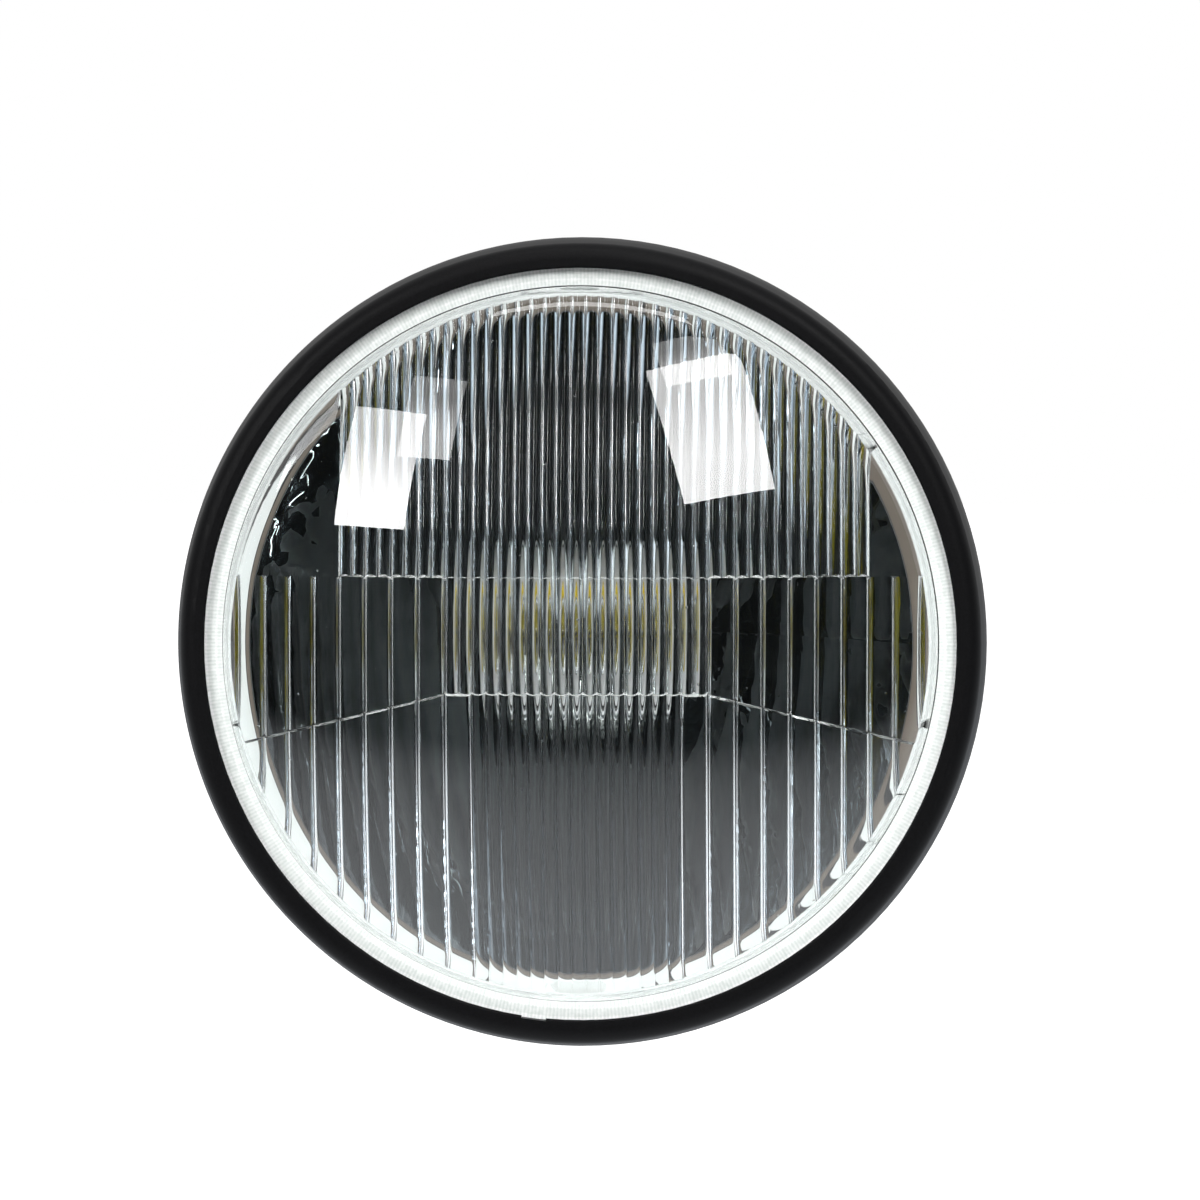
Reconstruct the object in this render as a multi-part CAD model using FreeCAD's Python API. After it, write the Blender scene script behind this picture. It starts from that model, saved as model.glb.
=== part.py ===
"""Round motorcycle headlight with a fluted glass lens, a mirror bowl and a two-filament bulb.

Millimetres. X points to the viewer's right, Y to the back of the lamp and Z up.
The origin is where the optical axis crosses the axis of the two side bosses.
Every round piece is drawn as an outline in the XY plane (X is the radius) and turned about Y.
"""
import FreeCAD
import Part

import math
import os

# Rim, pressed from sheet
rim_diameter = 165.0
rim_face_width = 6.5
rim_wall = 1.0
rim_depth = 24.0
rim_side_rise = 4.5
rim_front_length = 12.4
rim_shoulder_radius = 3.2
rim_back_bend = 1.5
pivot_to_rim_back = 25.9
rim_notch_width = 5.0
rim_notch_depth = 0.5
rim_notch_angle = 263.0

# Lens, pressed glass
lens_ring_width = 3.7
lens_wall = 3.5
lens_side_wall = 2.9
lens_flange_thickness = 4.0
lens_edge_gap = 0.6
dome_radius = 165.0
lens_foot_height = 1.0
dome_shoulder_radius = 8.0

# Flutes inside the lens: lengths along the dome, slopes in degrees
flute_pitch = 2.755
flute_slope = 40.0
flute_ridge = 0.45
block_flutes = 2
block_slope = 42.0
block_flank = 0.6
block_floor_slope = 4.0
block_ridge = 0.25
centre_flutes = 19
low_centre_flutes = 15
top_left_flutes = 8
top_right_flutes = 12
top_line_height = 14.0
low_line_drop = 8.9
low_line_slope = 14.2
zone_step = 0.5
centre_step = 0.4
zone_overlap = 0.05

# Seals
gasket_thickness = 1.4
gasket_side_gap = 0.5
sealant_thickness = 0.8
sealant_inset = 0.8

# Reflector, pressed from sheet and metallised
reflector_wall = 0.9
reflector_focus = 18.0
reflector_mouth_step = 2.6
reflector_edge_gap = 2.0
reflector_edge_height = 2.3
boot_seat_height = 5.0

# Wire clips that press the lens unit into the rim
clip_count = 6
clip_wire = 1.8
clip_half_foot = 5.0
clip_slant = 8.0
clip_arm = 6.0
clip_bend = 2.5

# Bulb with a three-lug collar
light_centre_length = 28.5
bulb_length = 48.0
bulb_diameter = 16.5
bulb_glass = 1.0
bulb_root_depth = 6.0
stem_length = 5.0
fit_gap = 0.05
collar_sheet = 1.0
collar_seat = 0.8
collar_grip_length = 8.0
collar_skirt_length = 5.0
collar_hole_gap = 0.4
lug_reach = 1.5
lug_width = 7.0
bulb_hole_diameter = 38.4
base_diameter = 29.0
base_length = 15.0
base_end_diameter = 25.0
base_end_length = 2.0
blade_width = 8.0
blade_thickness = 0.8
blade_length = 9.0
blade_root = 4.0
blade_offset = 8.0
side_blade_drop = 1.0
filament_diameter = 1.5
filament_length = 5.0
lead_wire = 0.8
shield_radius = 4.2
shield_wall = 0.3
shield_overhang = 2.0
main_lead_offset = 2.0
common_lead_offset = 3.2

# Spring that holds the bulb, its hinge and its catch
spring_wire = 1.5
spring_bend = 2.0
spring_gap = 0.25
spring_bar_half = 6.0
spring_taper = 18.0
spring_end_gap = 1.0
catch_setback = 4.5
bracket_sheet = 0.8
bracket_gap = 0.45
hinge_length = 10.0
hinge_margin = 1.7
catch_width = 8.0
catch_overlap = 0.8
rivet_diameter = 2.4
rivet_head_diameter = 3.0
rivet_head_height = 0.6
rivet_bar_gap = 0.2

# Rubber dust boot
boot_wall = 2.4
boot_grip = 4.0
boot_cone_wall = 2.0
boot_rise = 4.0

# Shell, pressed from sheet
shell_wall = 1.0
shell_step = 2.9
shell_straight = 21.5
shell_joint_gap = 0.3
shell_back_flat = 28.0
shell_back_radius = 42.0
wiring_space = 10.0

# Ears, hook and screws that hold the rim to the shell
ear_sheet = 1.2
ear_gap = 0.3
ear_foot = 1.8
ear_width_angle = 10.5
ear_angles = (210.0, 330.0)
ear_screw_setback = 9.4
ear_end_margin = 6.0
hook_setback = 7.0
hook_angle = 90.0
hook_slot_gap = 0.4
screw_diameter = 5.0
screw_hole_gap = 0.25
screw_head_diameter = 9.0
screw_head_height = 2.4
screw_head_edge = 1.2
screw_point_length = 1.0
nut_across_flats = 8.0
nut_height = 4.0

# Side bosses with the mounting thread (drawn at its drill size)
boss_diameter = 18.0
boss_proud = 1.5
boss_depth = 8.0
boss_chamfer = 0.8
thread_drill = 6.8

# Rubber grommet where the wiring enters
grommet_bore = 12.0
grommet_hole = 24.0
grommet_flange = 30.0
grommet_outer_lip = 2.5
grommet_inner_lip = 2.0

# Radii that follow
rim_radius = rim_diameter / 2
lip_radius = rim_radius - rim_face_width
shoulder_start = rim_radius - rim_side_rise
shell_radius = rim_radius - shell_step
shell_inner = shell_radius - shell_wall
reflector_edge = rim_radius - rim_wall - reflector_edge_gap
lens_edge = reflector_edge - reflector_wall - lens_edge_gap
dome_foot = lip_radius - lens_ring_width
cavity_radius = dome_foot - lens_side_wall
mouth_radius = cavity_radius - reflector_mouth_step
dome_shoulder = dome_foot - dome_shoulder_radius
inner_dome = dome_radius - lens_wall
flute_angle = math.degrees(flute_pitch / inner_dome)
bulb_hole = bulb_hole_diameter / 2
collar_edge = bulb_hole + collar_seat
lug_edge = collar_edge + lug_reach
base_radius = base_diameter / 2
rivet_head = rivet_head_diameter / 2

# Places along Y that follow
rim_back = -pivot_to_rim_back
rim_front = rim_back - rim_depth
rim_widest = rim_front + rim_front_length
lip_back = rim_front + rim_wall
flange_front = lip_back + gasket_thickness
flange_back = flange_front + lens_flange_thickness
reflector_front = flange_back + sealant_thickness
reflector_back = reflector_front + reflector_wall
shoulder_place = flange_front - lens_foot_height
dome_centre = shoulder_place + math.sqrt((dome_radius - dome_shoulder_radius) ** 2 - dome_shoulder ** 2)
dome_apex = dome_centre - dome_radius
bowl_apex = reflector_front + mouth_radius ** 2 / (4 * reflector_focus)
focus = bowl_apex - reflector_focus
bulb_seat = focus + light_centre_length
collar_back = bulb_seat + collar_sheet
base_back = collar_back + base_length
blade_start = base_back + base_end_length
blade_end = blade_start + blade_length
shell_back_inner = blade_end + wiring_space
shell_back = shell_back_inner + shell_wall
shell_front = rim_back + shell_joint_gap
rear_lip_front = rim_back - rim_wall
ear_outer = shell_inner - ear_gap
ear_inner = ear_outer - ear_sheet
ear_screw = rim_back + ear_screw_setback
stem_front = bulb_seat - bulb_root_depth - stem_length
spring_place = collar_back + spring_wire / 2

# Bulb spring: distances from the axis that follow
spring_leg = base_radius + spring_gap + spring_wire / 2
hinge_radius = spring_place - bulb_seat
hinge_height = lug_edge + spring_gap + hinge_radius
hinge_rivet = hinge_height + hinge_radius + spring_gap + rivet_head
hinge_top = hinge_rivet + rivet_head + hinge_margin
bar_height = -lug_edge - catch_setback
catch_rivet = bar_height + spring_wire / 2 + rivet_bar_gap + rivet_head
boot_seat = math.hypot(hinge_length / 2, hinge_top) + bracket_gap + reflector_wall

AXIS = FreeCAD.Vector(0, -1, 0)
ORIGIN = FreeCAD.Vector(0, 0, 0)


def on_circle(centre_x, centre_y, radius, degrees):
    """Point of a circle in the XY plane."""
    angle = math.radians(degrees)
    return (centre_x + radius * math.cos(angle), centre_y + radius * math.sin(angle))


class Outline:
    """A closed outline in the XY plane, drawn from point to point."""

    def __init__(self, start):
        self.start = start
        self.last = start
        self.edges = []

    def line(self, *points):
        for point in points:
            self.edges.append(Part.makeLine(flat(self.last), flat(point)))
            self.last = point
        return self

    def arc(self, middle, end):
        curve = Part.Arc(flat(self.last), flat(middle), flat(end))
        self.edges.append(curve.toShape())
        self.last = end
        return self

    def sweep(self, centre, radius, first, last):
        """Arc of a circle between two angles; a line leads to it when needed."""
        begin = on_circle(*centre, radius, first)
        if math.dist(begin, self.last) > 1e-6:
            self.line(begin)
        middle = on_circle(*centre, radius, (first + last) / 2)
        return self.arc(middle, on_circle(*centre, radius, last))

    def bend(self, radius, first, last):
        """Arc that leaves the last point at one heading and ends at another."""
        inward = 90 if last > first else -90
        centre = on_circle(*self.last, radius, first + inward)
        return self.sweep(centre, radius, first - inward, last - inward)

    def curve(self, control, end):
        """Parabola arc: a Bezier curve with one control point."""
        bezier = Part.BezierCurve()
        bezier.setPoles([flat(self.last), flat(control), flat(end)])
        self.edges.append(bezier.toShape())
        self.last = end
        return self

    def face(self):
        if math.dist(self.start, self.last) > 1e-6:
            self.line(self.start)
        return Part.Face(Part.Wire(self.edges))


def flat(point):
    return FreeCAD.Vector(point[0], point[1], 0)


def turned(outline):
    """Full turn of an outline about the lamp's axis."""
    return outline.face().revolve(ORIGIN, AXIS, 360)


def sector(outline, middle_angle, width_angle):
    """Part turn of an outline, centred on a clock angle (0 is +X, 90 is up)."""
    face = outline.face()
    face.rotate(ORIGIN, AXIS, middle_angle - width_angle / 2)
    return face.revolve(ORIGIN, AXIS, width_angle)


def placed(shape, angle):
    """Copy of a shape turned about the lamp's axis."""
    copy = shape.copy()
    copy.rotate(ORIGIN, AXIS, angle)
    return copy


def ring(inner, outer, front, back):
    return turned(Outline((inner, front)).line((outer, front), (outer, back), (inner, back)))


def rod(radius, start, end):
    """Cylinder between two points."""
    way = FreeCAD.Vector(*end) - FreeCAD.Vector(*start)
    return Part.makeCylinder(radius, way.Length, FreeCAD.Vector(*start), way)


def box(x, y, z):
    """Box from three pairs of limits."""
    return Part.makeBox(x[1] - x[0], y[1] - y[0], z[1] - z[0], FreeCAD.Vector(x[0], y[0], z[0]))


def bent_wire(points, diameter, bend):
    """Round wire through corner points, with an arc at every corner."""
    corners = [FreeCAD.Vector(*point) for point in points]
    edges = []
    last = corners[0]
    for before, corner, after in zip(corners, corners[1:], corners[2:]):
        to_before = (before - corner).normalize()
        to_after = (after - corner).normalize()
        half = to_before.getAngle(to_after) / 2
        reach = bend / math.tan(half)
        enter = corner + to_before * reach
        leave = corner + to_after * reach
        middle_way = (to_before + to_after).normalize()
        middle = corner + middle_way * (bend / math.sin(half) - bend)
        edges.append(Part.makeLine(last, enter))
        edges.append(Part.Arc(enter, middle, leave).toShape())
        last = leave
    edges.append(Part.makeLine(last, corners[-1]))
    path = Part.Wire(edges)
    section = Part.Wire([Part.makeCircle(diameter / 2, corners[0], corners[1] - corners[0])])
    return path.makePipeShell([section], True, False)


def tangent_radius(across, along, other):
    """Radius of the arc that carries on from an arc of radius other, over a corner of given reach."""
    return (2 * along * other - across ** 2 - along ** 2) / (2 * (other - across))


# Rim and what holds it

def make_rim():
    side_radius = tangent_radius(rim_side_rise, rim_front_length, rim_shoulder_radius)
    shoulder = (shoulder_start, rim_front + rim_shoulder_radius)
    side = (rim_radius - side_radius, rim_widest)
    change = math.degrees(math.atan2(shoulder[1] - side[1], shoulder[0] - side[0]))
    lip_half = rim_wall / 2
    back_corner = (rim_radius - rim_back_bend, rim_back - rim_back_bend)
    outline = Outline((lip_radius + lip_half, lip_back))
    outline.sweep((lip_radius + lip_half, lip_back - lip_half), lip_half, 90, 270)
    outline.sweep(shoulder, rim_shoulder_radius, -90, change)
    outline.sweep(side, side_radius, change, 0)
    outline.sweep(back_corner, rim_back_bend, 0, 90)
    outline.line((shell_inner, rim_back), (shell_inner, rear_lip_front))
    outline.sweep(back_corner, rim_back_bend - rim_wall, 90, 0)
    outline.sweep(side, side_radius - rim_wall, 0, change)
    outline.sweep(shoulder, rim_shoulder_radius - rim_wall, change, -90)
    notch_angle = math.degrees(rim_notch_width / lip_radius)
    notch = Outline((lip_radius - rim_wall, rim_front - rim_wall))
    notch.line((lip_radius + rim_notch_depth, rim_front - rim_wall))
    notch.line((lip_radius + rim_notch_depth, flange_front), (lip_radius - rim_wall, flange_front))
    return turned(outline).cut(sector(notch, rim_notch_angle, notch_angle))


def ear_outline(back, tip):
    """Foot welded to the rim's rear lip and a tongue into the shell; tip is the tongue's end radius."""
    foot_front = rear_lip_front - ear_sheet
    outline = Outline((ear_inner, foot_front))
    outline.line((shell_inner + ear_foot, foot_front), (shell_inner + ear_foot, rear_lip_front))
    outline.line((ear_outer, rear_lip_front))
    if tip > ear_outer:
        outline.line((ear_outer, back - ear_sheet), (tip, back - ear_sheet), (tip, back))
    else:
        outline.line((ear_outer, back))
    return outline.line((ear_inner, back))


def make_ear(angle):
    ear = sector(ear_outline(ear_screw + ear_end_margin, ear_outer), 0, ear_width_angle)
    hole_radius = screw_diameter / 2 + screw_hole_gap
    hole = rod(hole_radius, (ear_inner - ear_sheet, ear_screw, 0), (shell_radius, ear_screw, 0))
    return placed(ear.cut(hole), angle)


def make_hook():
    return sector(ear_outline(rim_back + hook_setback, shell_radius), hook_angle, ear_width_angle)


def make_screw(angle):
    nut_face = nut_seat() - nut_height
    half = screw_head_diameter / 2
    dome = screw_head_height - screw_head_edge
    dome_curve = (half ** 2 + dome ** 2) / (2 * dome)
    dome_middle = (shell_radius + screw_head_height - dome_curve, ear_screw)
    head = Outline((shell_radius, ear_screw)).line((shell_radius, ear_screw + half))
    head.sweep(dome_middle, dome_curve, math.degrees(math.asin(half / dome_curve)), 0)
    axis_point = FreeCAD.Vector(0, ear_screw, 0)
    head_solid = head.face().revolve(axis_point, FreeCAD.Vector(1, 0, 0), 360)
    shank_end = (nut_face - screw_point_length, ear_screw, 0)
    shank = rod(screw_diameter / 2, shank_end, (shell_radius + screw_head_edge, ear_screw, 0))
    return placed(head_solid.fuse(shank).removeSplitter(), angle)


def nut_seat():
    """Distance from the axis at which the flat nut meets the round inside of the ear."""
    corner = nut_across_flats / math.sqrt(3)
    return math.sqrt(ear_inner ** 2 - corner ** 2)


def make_nut(angle):
    corner = nut_across_flats / math.sqrt(3)
    start = nut_seat() - nut_height
    points = []
    for step in range(7):
        y, z = on_circle(ear_screw, 0, corner, 60 * step)
        points.append(FreeCAD.Vector(start, y, z))
    body = Part.Face(Part.makePolygon(points)).extrude(FreeCAD.Vector(nut_height, 0, 0))
    bore = rod(screw_diameter / 2 + fit_gap, (start - 1, ear_screw, 0), (ear_inner, ear_screw, 0))
    return placed(body.cut(bore), angle)


def make_clip(angle):
    """Bent wire between the back of the reflector's edge and the rim's rear lip."""
    wire_radius = clip_wire / 2
    circle = (reflector_edge + shell_inner) / 2 + fit_gap
    foot_place = reflector_back + wire_radius
    arm_place = rear_lip_front - wire_radius
    bends = [(clip_half_foot + clip_slant + clip_arm, arm_place), (clip_half_foot + clip_slant, arm_place)]
    bends.append((clip_half_foot, foot_place))
    bends += [(-along, place) for along, place in reversed(bends)]
    points = []
    for along, place in bends:
        turn = math.radians(angle) + along / circle
        points.append((circle * math.cos(turn), place, circle * math.sin(turn)))
    return bent_wire(points, clip_wire, clip_bend)


# Lens

def lens_blank():
    """Lens with its dome, shoulder and flange, still solid."""
    change = math.degrees(math.atan2(shoulder_place - dome_centre, dome_shoulder))
    outline = Outline((0, dome_apex))
    outline.sweep((0, dome_centre), dome_radius, -90, change)
    outline.sweep((dome_shoulder, shoulder_place), dome_shoulder_radius, change, 0)
    outline.line((dome_foot, flange_front), (lens_edge, flange_front), (lens_edge, flange_back))
    return turned(outline.line((0, flange_back)))


def sine(degrees):
    return math.sin(math.radians(degrees))


def flute_arcs(half, base):
    """A narrow cell from ridge to ridge: radius, first slope and last slope of every arc."""
    radius = (base + flute_ridge) * sine(half) / sine(flute_slope) - flute_ridge
    scoop = (radius, -flute_slope, flute_slope)
    return [(flute_ridge, -half, -flute_slope), scoop, (flute_ridge, flute_slope, half)]


def block_arcs(half, base):
    """A wide cell from ridge to ridge: steep flanks and a nearly flat floor."""
    flank_room = block_flank * (sine(block_slope) - sine(block_floor_slope))
    floor_room = (base + block_ridge) * sine(half) - block_ridge * sine(block_slope) - flank_room
    floor = (floor_room / sine(block_floor_slope), -block_floor_slope, block_floor_slope)
    way_in = [(block_ridge, -half, -block_slope), (block_flank, -block_slope, -block_floor_slope)]
    way_out = [(block_flank, block_floor_slope, block_slope), (block_ridge, block_slope, half)]
    return way_in + [floor] + way_out


def cell_row(count, first, width, depth, arcs):
    """Cells of equal width along the dome: start angle, end angle, depth step and arcs."""
    return [(first + n * width, first + (n + 1) * width, depth, arcs) for n in range(count)]


def row_with_blocks(inner_flutes, depth):
    """Flutes in the middle and wide cells out to both sides."""
    edge = inner_flutes / 2 * flute_angle
    wide = block_flutes * flute_angle
    count = math.ceil((flute_reach() - edge) / wide)
    left = cell_row(count, -edge - count * wide, wide, depth, block_arcs)
    middle = cell_row(inner_flutes, -edge, flute_angle, depth, flute_arcs)
    return left + middle + cell_row(count, edge, wide, depth, block_arcs)


def flute_reach():
    """Angle along the dome that lies just outside the lens cavity."""
    return math.degrees(math.asin(cavity_radius / inner_dome)) + flute_angle


def cell_end(angle, depth):
    return on_circle(0, dome_centre, inner_dome - depth, angle - 90)


def fluted_space(cells):
    """The room behind the flutes: their profile turned about the dome's own cross axis."""
    outline = Outline(cell_end(cells[0][0], cells[0][2]))
    for start, end, depth, arcs in cells:
        base = inner_dome - depth
        if arcs is None:
            outline.sweep((0, dome_centre), base, start - 90, end - 90)
            continue
        begin = cell_end(start, depth)
        if math.dist(begin, outline.last) > 1e-6:
            outline.line(begin)
        middle = (start + end) / 2
        for radius, first, last in arcs((end - start) / 2, base):
            outline.bend(radius, middle + first, middle + last)
    core = inner_dome - cavity_radius
    outline.sweep((0, dome_centre), core, cells[-1][1] - 90, cells[0][0] - 90)
    face = outline.face()
    turn = math.degrees(math.asin(cavity_radius / (inner_dome - zone_step))) + 2
    centre = FreeCAD.Vector(0, dome_centre, 0)
    face.rotate(centre, FreeCAD.Vector(1, 0, 0), -turn)
    return face.revolve(centre, FreeCAD.Vector(1, 0, 0), 2 * turn)


def zone(points):
    """Part of the lens cavity inside a front outline given in X and Z."""
    corners = [FreeCAD.Vector(x, dome_apex, z) for x, z in points + points[:1]]
    depth = flange_back - dome_apex + 1
    prism = Part.Face(Part.makePolygon(corners)).extrude(FreeCAD.Vector(0, depth, 0))
    return prism.common(rod(cavity_radius, (0, dome_apex, 0), (0, dome_apex + depth, 0)))


def make_lens():
    centre_edge = centre_flutes / 2 * flute_angle
    half = cell_end(centre_edge, 0)[0]
    far = lip_radius
    fall = (far - half) * math.tan(math.radians(low_line_slope))
    low_line = [(-far, -low_line_drop - fall), (-half, -low_line_drop)]
    low_line += [(half, -low_line_drop), (far, -low_line_drop - fall)]
    lifted = [(x, z + zone_overlap) for x, z in low_line]
    top = top_line_height
    top_zone = zone([(-far, top), (far, top), (far, far), (-far, far)])
    middle_zone = zone(low_line + [(far, top + zone_overlap), (-far, top + zone_overlap)])
    low_zone = zone(lifted + [(far, -far), (-far, -far)])

    left_start = -centre_edge - top_left_flutes * flute_angle
    right_end = centre_edge + top_right_flutes * flute_angle
    top_cells = [(-flute_reach(), left_start, 0, None)]
    top_cells += cell_row(top_left_flutes, left_start, flute_angle, 0, flute_arcs)
    top_cells += cell_row(centre_flutes, -centre_edge, flute_angle, centre_step, flute_arcs)
    top_cells += cell_row(top_right_flutes, centre_edge, flute_angle, 0, flute_arcs)
    top_cells += [(right_end, flute_reach(), 0, None)]
    middle_cells = row_with_blocks(centre_flutes, zone_step)
    low_cells = row_with_blocks(low_centre_flutes, 0)

    lens = lens_blank()
    for cells, place in ((top_cells, top_zone), (middle_cells, middle_zone), (low_cells, low_zone)):
        lens = lens.cut(fluted_space(cells).common(place))
    return lens


# Seals and reflector

def make_gasket():
    return ring(lip_radius + gasket_side_gap, shoulder_start - fit_gap, lip_back, flange_front)


def make_sealant():
    return ring(cavity_radius + sealant_inset, lens_edge, flange_back, reflector_front)


def bowl_depth(radius, shift):
    return bowl_apex + shift - radius ** 2 / (4 * reflector_focus)


def make_reflector():
    shift = reflector_wall * math.sqrt(1 + (mouth_radius / (4 * reflector_focus)) ** 2)
    neck_outer = bulb_hole + reflector_wall
    seat_front = bulb_seat - reflector_wall
    outer_mouth = math.sqrt(4 * reflector_focus * (bowl_apex + shift - reflector_back))
    inner_control = ((mouth_radius + bulb_hole) / 2,
                     bowl_apex - mouth_radius * bulb_hole / (4 * reflector_focus))
    outer_control = ((outer_mouth + neck_outer) / 2,
                     bowl_apex + shift - outer_mouth * neck_outer / (4 * reflector_focus))
    outline = Outline((mouth_radius, reflector_front))
    outline.curve(inner_control, (bulb_hole, bowl_depth(bulb_hole, 0)))
    outline.line((bulb_hole, bulb_seat), (boot_seat - reflector_wall, bulb_seat))
    outline.line((boot_seat - reflector_wall, bulb_seat + boot_seat_height))
    outline.line((boot_seat, bulb_seat + boot_seat_height), (boot_seat, seat_front))
    outline.line((neck_outer, seat_front), (neck_outer, bowl_depth(neck_outer, shift)))
    outline.curve(outer_control, (outer_mouth, reflector_back))
    edge_front = reflector_front - reflector_edge_height
    outline.line((reflector_edge, reflector_back), (reflector_edge, edge_front))
    outline.line((reflector_edge - reflector_wall, edge_front))
    outline.line((reflector_edge - reflector_wall, reflector_front))
    reflector = turned(outline)
    for height in (hinge_rivet, catch_rivet):
        hole_radius = rivet_diameter / 2 + fit_gap
        hole = rod(hole_radius, (0, seat_front - 1, height), (0, bulb_seat + 1, height))
        reflector = reflector.cut(hole)
    return reflector


# Bulb

def make_envelope():
    radius = bulb_diameter / 2
    tip = bulb_seat - bulb_length
    root = bulb_seat - bulb_root_depth
    outline = Outline((radius, root))
    outline.sweep((0, tip + radius), radius, 0, -90)
    outline.line((0, tip + bulb_glass))
    outline.sweep((0, tip + radius), radius - bulb_glass, -90, 0)
    return turned(outline.line((radius - bulb_glass, root)))


def make_stem():
    radius = bulb_diameter / 2 - bulb_glass - fit_gap
    return rod(radius, (0, stem_front, 0), (0, bulb_seat, 0))


def make_collar():
    grip = bulb_diameter / 2 + fit_gap
    grip_front = bulb_seat - collar_grip_length
    skirt = bulb_hole - collar_hole_gap
    skirt_front = bulb_seat - collar_skirt_length
    outline = Outline((grip, grip_front))
    outline.line((grip + collar_sheet, grip_front), (grip + collar_sheet, bulb_seat))
    outline.line((skirt - collar_sheet, bulb_seat), (skirt - collar_sheet, skirt_front))
    outline.line((skirt, skirt_front), (skirt, bulb_seat), (collar_edge, bulb_seat))
    outline.line((collar_edge, collar_back), (grip, collar_back))
    collar = turned(outline)
    lug = Outline((skirt, bulb_seat))
    lug.line((lug_edge, bulb_seat), (lug_edge, collar_back), (skirt, collar_back))
    lug_angle = math.degrees(lug_width / lug_edge)
    lugs = [sector(lug, angle, lug_angle) for angle in (90, 210, 330)]
    return collar.fuse(lugs).removeSplitter()


def blade_limits(gap):
    """X, Y and Z limits of the three blades, widened by a gap for their slots."""
    half = blade_width / 2 + gap
    thin = blade_thickness / 2 + gap
    along = (blade_start - blade_root - gap, blade_end)
    upright = (-side_blade_drop - half, -side_blade_drop + half)
    top = ((-half, half), along, (blade_offset - thin, blade_offset + thin))
    left = ((-blade_offset - thin, -blade_offset + thin), along, upright)
    right = ((blade_offset - thin, blade_offset + thin), along, upright)
    return {"top": top, "left": left, "right": right}


def make_base():
    body = rod(base_radius, (0, collar_back, 0), (0, base_back, 0))
    end = rod(base_end_diameter / 2, (0, base_back - 1, 0), (0, blade_start, 0))
    base = body.fuse(end).removeSplitter()
    for limits in blade_limits(fit_gap).values():
        base = base.cut(box(*limits))
    return base


def common_lead_place():
    """Where the two filaments meet the lead they share."""
    return focus


def make_filament(side):
    """Filament in front of (-1) or behind (+1) the shared lead."""
    start = common_lead_place() + side * (lead_wire / 2 + fit_gap)
    return rod(filament_diameter / 2, (0, start, 0), (0, start + side * filament_length, 0))


def make_lead(offset, place):
    """Wire from the stem to a filament's end on the axis."""
    points = [(offset, stem_front, 0), (offset, place, 0), (0, place, 0)]
    return bent_wire(points, lead_wire, lead_wire)


def filament_far_end(side):
    reach = lead_wire / 2 + fit_gap + filament_length + fit_gap + lead_wire / 2
    return common_lead_place() + side * reach


def make_shield():
    """Half cup under the front filament."""
    front = filament_far_end(-1) - shield_overhang
    back = common_lead_place() - lead_wire
    cup = ring(shield_radius - shield_wall, shield_radius, front, back)
    cap = rod(shield_radius, (0, front - shield_wall, 0), (0, front, 0))
    top = -lead_wire / 2 - fit_gap
    below = box((-bulb_diameter, bulb_diameter), (front - bulb_length, back), (-bulb_diameter, top))
    return cup.fuse(cap).common(below).removeSplitter()


# Spring that holds the bulb

def make_spring():
    high = hinge_height
    low = bar_height
    half = [(spring_end_gap, high), (spring_leg, high), (spring_leg, low + spring_taper)]
    half.append((spring_bar_half, low))
    other = [(-x, z) for x, z in reversed(half)]
    points = [(x, spring_place, z) for x, z in half + other]
    return bent_wire(points, spring_wire, spring_bend)


def make_hinge():
    half = hinge_length / 2
    high = hinge_height
    tube = rod(hinge_radius, (-half, spring_place, high), (half, spring_place, high))
    plate = box((-half, half), (bulb_seat, bulb_seat + bracket_sheet), (high, hinge_top))
    bore = rod(spring_wire / 2 + fit_gap, (-half - 1, spring_place, high), (half + 1, spring_place, high))
    hole_start = (0, bulb_seat - 1, hinge_rivet)
    hole_end = (0, bulb_seat + bracket_sheet + 1, hinge_rivet)
    hole = rod(rivet_diameter / 2 + fit_gap, hole_start, hole_end)
    return tube.fuse(plate).removeSplitter().cut(bore).cut(hole)


def make_catch():
    half = catch_width / 2
    bar = bar_height
    wire_radius = spring_wire / 2
    plate_back = bulb_seat + bracket_sheet
    outside = bar - wire_radius - spring_gap - bracket_sheet
    inside = catch_rivet + rivet_head
    hook_front = spring_place + wire_radius + spring_gap
    plate = box((-half, half), (bulb_seat, plate_back), (outside, inside))
    riser = box((-half, half), (bulb_seat, hook_front + bracket_sheet), (outside, outside + bracket_sheet))
    hook = box((-half, half), (hook_front, hook_front + bracket_sheet), (outside, bar + catch_overlap))
    hole_start = (0, bulb_seat - 1, catch_rivet)
    hole = rod(rivet_diameter / 2 + fit_gap, hole_start, (0, plate_back + 1, catch_rivet))
    return plate.fuse([riser, hook]).removeSplitter().cut(hole)


def make_rivet(height):
    front = bulb_seat - reflector_wall
    back = bulb_seat + bracket_sheet
    shank = rod(rivet_diameter / 2, (0, front, height), (0, back, height))
    front_head = rod(rivet_head, (0, front - rivet_head_height, height), (0, front, height))
    back_head = rod(rivet_head, (0, back, height), (0, back + rivet_head_height, height))
    return shank.fuse([front_head, back_head]).removeSplitter()


def make_boot():
    grip = base_radius + fit_gap
    seat = boot_seat + fit_gap
    seat_top = bulb_seat + boot_seat_height + fit_gap
    grip_front = base_back - boot_grip
    outline = Outline((seat, bulb_seat))
    outline.line((seat + boot_wall, bulb_seat), (seat + boot_wall, seat_top + boot_cone_wall))
    outline.line((seat - boot_rise, seat_top + boot_cone_wall))
    outline.line((grip + boot_wall + boot_cone_wall, grip_front + boot_cone_wall))
    outline.line((grip + boot_wall, base_back), (grip, base_back), (grip, grip_front))
    outline.line((grip + boot_wall, grip_front), (seat - boot_rise - boot_cone_wall, seat_top))
    return turned(outline.line((seat, seat_top)))


# Shell and what sits in it

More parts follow.
